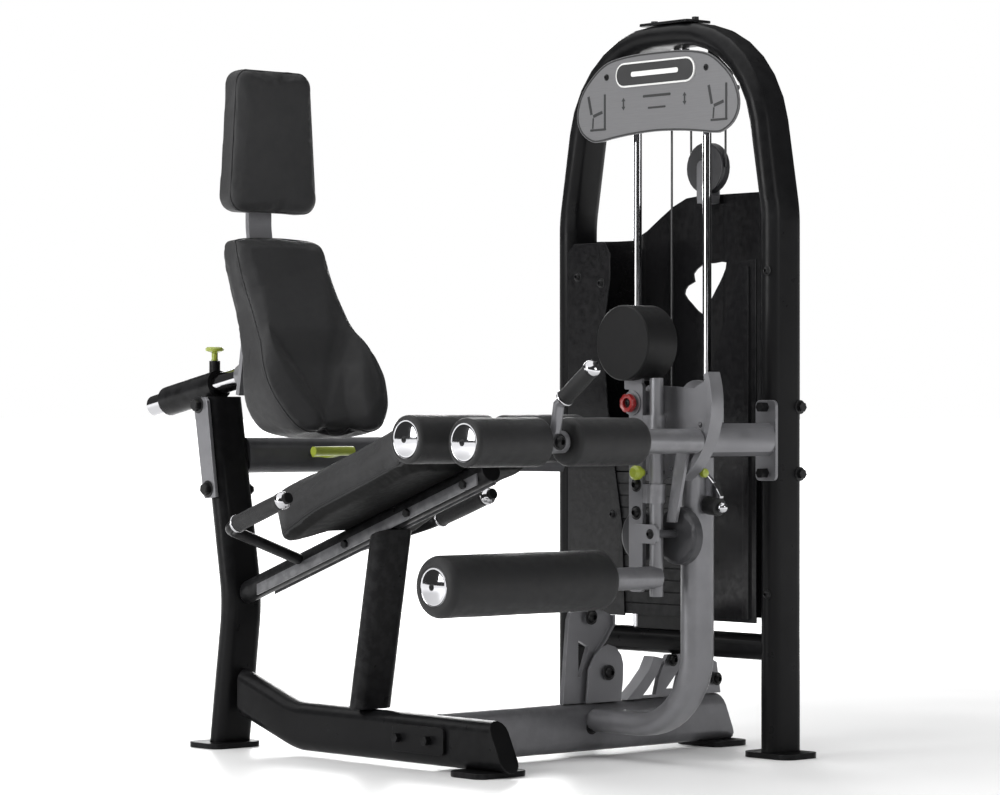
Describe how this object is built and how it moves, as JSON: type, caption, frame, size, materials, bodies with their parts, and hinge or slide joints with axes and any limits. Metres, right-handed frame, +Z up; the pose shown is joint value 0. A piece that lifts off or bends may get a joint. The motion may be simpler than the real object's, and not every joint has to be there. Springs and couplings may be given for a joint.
{
  "type": "leg extension machine",
  "caption": "Selectorised seated leg extension machine: padded seat unit joined to an arched weight tower, with a swinging roller arm and hold-down rollers.",
  "frame": {"origin": "middle of the footprint, on the floor", "axes": "+Z up; -Y is the way the seated user faces; +X points from the seat to the weight tower"},
  "size_m": [1.2005, 1.5122, 1.6363],
  "materials": {
    "paint_black": "satin black powder coat",
    "paint_grey": "metallic grey powder coat",
    "paint_dark_grey": "satin dark grey powder coat",
    "chrome": "polished chrome",
    "vinyl": "matt black grained upholstery vinyl",
    "foam": "matt black moulded foam skin",
    "gloss_plastic": "gloss black sheet",
    "stack_iron": "dark grey painted plates",
    "nylon": "machined black nylon",
    "lime_plastic": "yellow-green moulded plastic",
    "red_plastic": "dark red cap",
    "placard_grey": "light silver printed plate",
    "rubber": "black rubber",
    "weight_coat": "black coated iron",
    "cable": "black nylon coated steel cable"
  },
  "bodies": {
    "frame": {"adjust_sleeve": "paint_black", "back_beam": "paint_dark_grey", "base_beam": "paint_grey", "base_clamp_plate": "paint_black", "base_pulley_bracket": "paint_grey", "column_grip": "chrome", "column_saddle_plate": "paint_grey", "column_tie_beam": "paint_grey", "drive_cable": "cable", "guide_rod_far": "chrome", "guide_rod_near": "chrome", "handle_grip_far": "foam", "handle_grip_near": "foam", "lift_cable": "cable", "pivot_housing": "paint_grey", "placard": "placard_grey", "rear_column": "paint_black", "return_cable_far": "cable", "return_cable_near": "cable", "seat_base_beam": "paint_black", "seat_front_post": "paint_black", "seat_pad": "vinyl", "seat_rail": "paint_black", "shroud_left": "gloss_plastic", "shroud_rear": "gloss_plastic", "shroud_right": "gloss_plastic", "side_handle_far": "paint_black", "side_handle_near": "paint_black", "stack_bumper": "rubber", "support_column": "paint_grey", "tower_frame": "paint_black", "tower_gusset": "paint_grey", "tower_top_plate": "paint_black", "weight_stack_lower": "stack_iron"},
    "cam": {"cam_sector": "paint_grey", "pivot_cap": "red_plastic"},
    "swing_arm": {"swing_arm": "paint_grey", "counterweight": "weight_coat", "arm_disc": "paint_dark_grey", "hold_down_frame": "paint_grey", "hold_down_grip": "foam"},
    "start_pin": {"start_pin": "lime_plastic"},
    "roller_slide": {"roller_slide": "paint_grey"},
    "lower_roller": {"lower_roller": "foam"},
    "front_roller_outer": {"front_roller_outer": "foam"},
    "front_roller_inner": {"front_roller_inner": "foam"},
    "rear_roller_outer": {"rear_roller_outer": "foam"},
    "rear_roller_inner": {"rear_roller_inner": "foam"},
    "back_rest": {"adjust_tube": "chrome", "back_post": "paint_grey", "back_pad": "vinyl", "head_pad": "vinyl"},
    "back_pull_pin": {"back_pull_pin": "lime_plastic"},
    "stack": {"weight_stack_upper": "stack_iron", "selector_stem": "chrome"},
    "selector_pin": {"selector_pin": "lime_plastic"},
    "floating_block": {"floating_pulley_block": "paint_grey"},
    "floating_pulley": {"floating_pulley": "nylon"},
    "top_pulley": {"top_pulley": "nylon"},
    "release_lever": {"release_lever": "lime_plastic"}
  },
  "joints": [
    {"name": "arm_swing", "type": "hinge", "parent": "frame", "child": "cam", "pos_m": [0.06324, -0.48035, 0.771], "axis": [-1, 0, 0], "range_deg": [0, 90]},
    {"name": "start_adjust", "type": "hinge", "parent": "cam", "child": "swing_arm", "pos_m": [0.06324, -0.48035, 0.771], "axis": [-1, 0, 0], "range_deg": [0, 60]},
    {"name": "start_pin_pull", "type": "slide", "parent": "swing_arm", "child": "start_pin", "axis": [-1, 0, 0], "range_m": [0, 0.012], "stiffness_N_per_m": 300},
    {"name": "arm_length", "type": "slide", "parent": "swing_arm", "child": "roller_slide", "axis": [0, 0, -1], "range_m": [0, 0.12]},
    {"name": "lower_roller_spin", "type": "hinge", "parent": "roller_slide", "child": "lower_roller", "pos_m": [-0.29676, -0.53535, 0.4035], "axis": [1, 0, 0], "continuous": true},
    {"name": "front_roller_outer_spin", "type": "hinge", "parent": "swing_arm", "child": "front_roller_outer", "pos_m": [-0.29676, -0.62685, 0.6915], "axis": [1, 0, 0], "continuous": true},
    {"name": "front_roller_inner_spin", "type": "hinge", "parent": "swing_arm", "child": "front_roller_inner", "pos_m": [-0.29676, -0.62685, 0.6915], "axis": [1, 0, 0], "continuous": true},
    {"name": "rear_roller_outer_spin", "type": "hinge", "parent": "swing_arm", "child": "rear_roller_outer", "pos_m": [-0.29676, -0.45035, 0.697], "axis": [1, 0, 0], "continuous": true},
    {"name": "rear_roller_inner_spin", "type": "hinge", "parent": "swing_arm", "child": "rear_roller_inner", "pos_m": [-0.29676, -0.45035, 0.697], "axis": [1, 0, 0], "continuous": true},
    {"name": "back_adjust", "type": "slide", "parent": "frame", "child": "back_rest", "axis": [0, -0.9816, 0.1908], "range_m": [0, 0.12]},
    {"name": "back_pin_pull", "type": "slide", "parent": "frame", "child": "back_pull_pin", "axis": [0, 0, 1], "range_m": [0, 0.012], "stiffness_N_per_m": 300},
    {"name": "stack_lift", "type": "slide", "parent": "frame", "child": "stack", "axis": [0, 0, 1], "range_m": [0, 0.4], "deforming": ["lift_cable"]},
    {"name": "selector_pull", "type": "slide", "parent": "stack", "child": "selector_pin", "axis": [-1, 0, 0], "range_m": [0, 0.09]},
    {"name": "pulley_lower", "type": "slide", "parent": "frame", "child": "floating_block", "axis": [0, 0, -1], "range_m": [0, 0.2], "deforming": ["return_cable_near", "return_cable_far", "drive_cable"]},
    {"name": "floating_pulley_spin", "type": "hinge", "parent": "floating_block", "child": "floating_pulley", "pos_m": [0.51974, -0.23735, 1.303], "axis": [1, 0, 0], "range_deg": [-215, 0]},
    {"name": "top_pulley_spin", "type": "hinge", "parent": "frame", "child": "top_pulley", "pos_m": [0.48249, -0.18935, 1.505], "axis": [-0.1719, 0.9851, 0], "range_deg": [0, 620]},
    {"name": "release_lever_tilt", "type": "hinge", "parent": "frame", "child": "release_lever", "pos_m": [-0.07176, 0.43365, 0.655], "axis": [-1, 0, 0], "range_deg": [0, 12]}
  ],
  "couplings": [
    {"joint": "stack_lift", "follows": "arm_swing", "m_per_rad": 0.25465},
    {"joint": "pulley_lower", "follows": "arm_swing", "m_per_rad": 0.12732},
    {"joint": "floating_pulley_spin", "follows": "arm_swing", "ratio": -2.3362},
    {"joint": "top_pulley_spin", "follows": "arm_swing", "ratio": 6.7344}
  ]
}
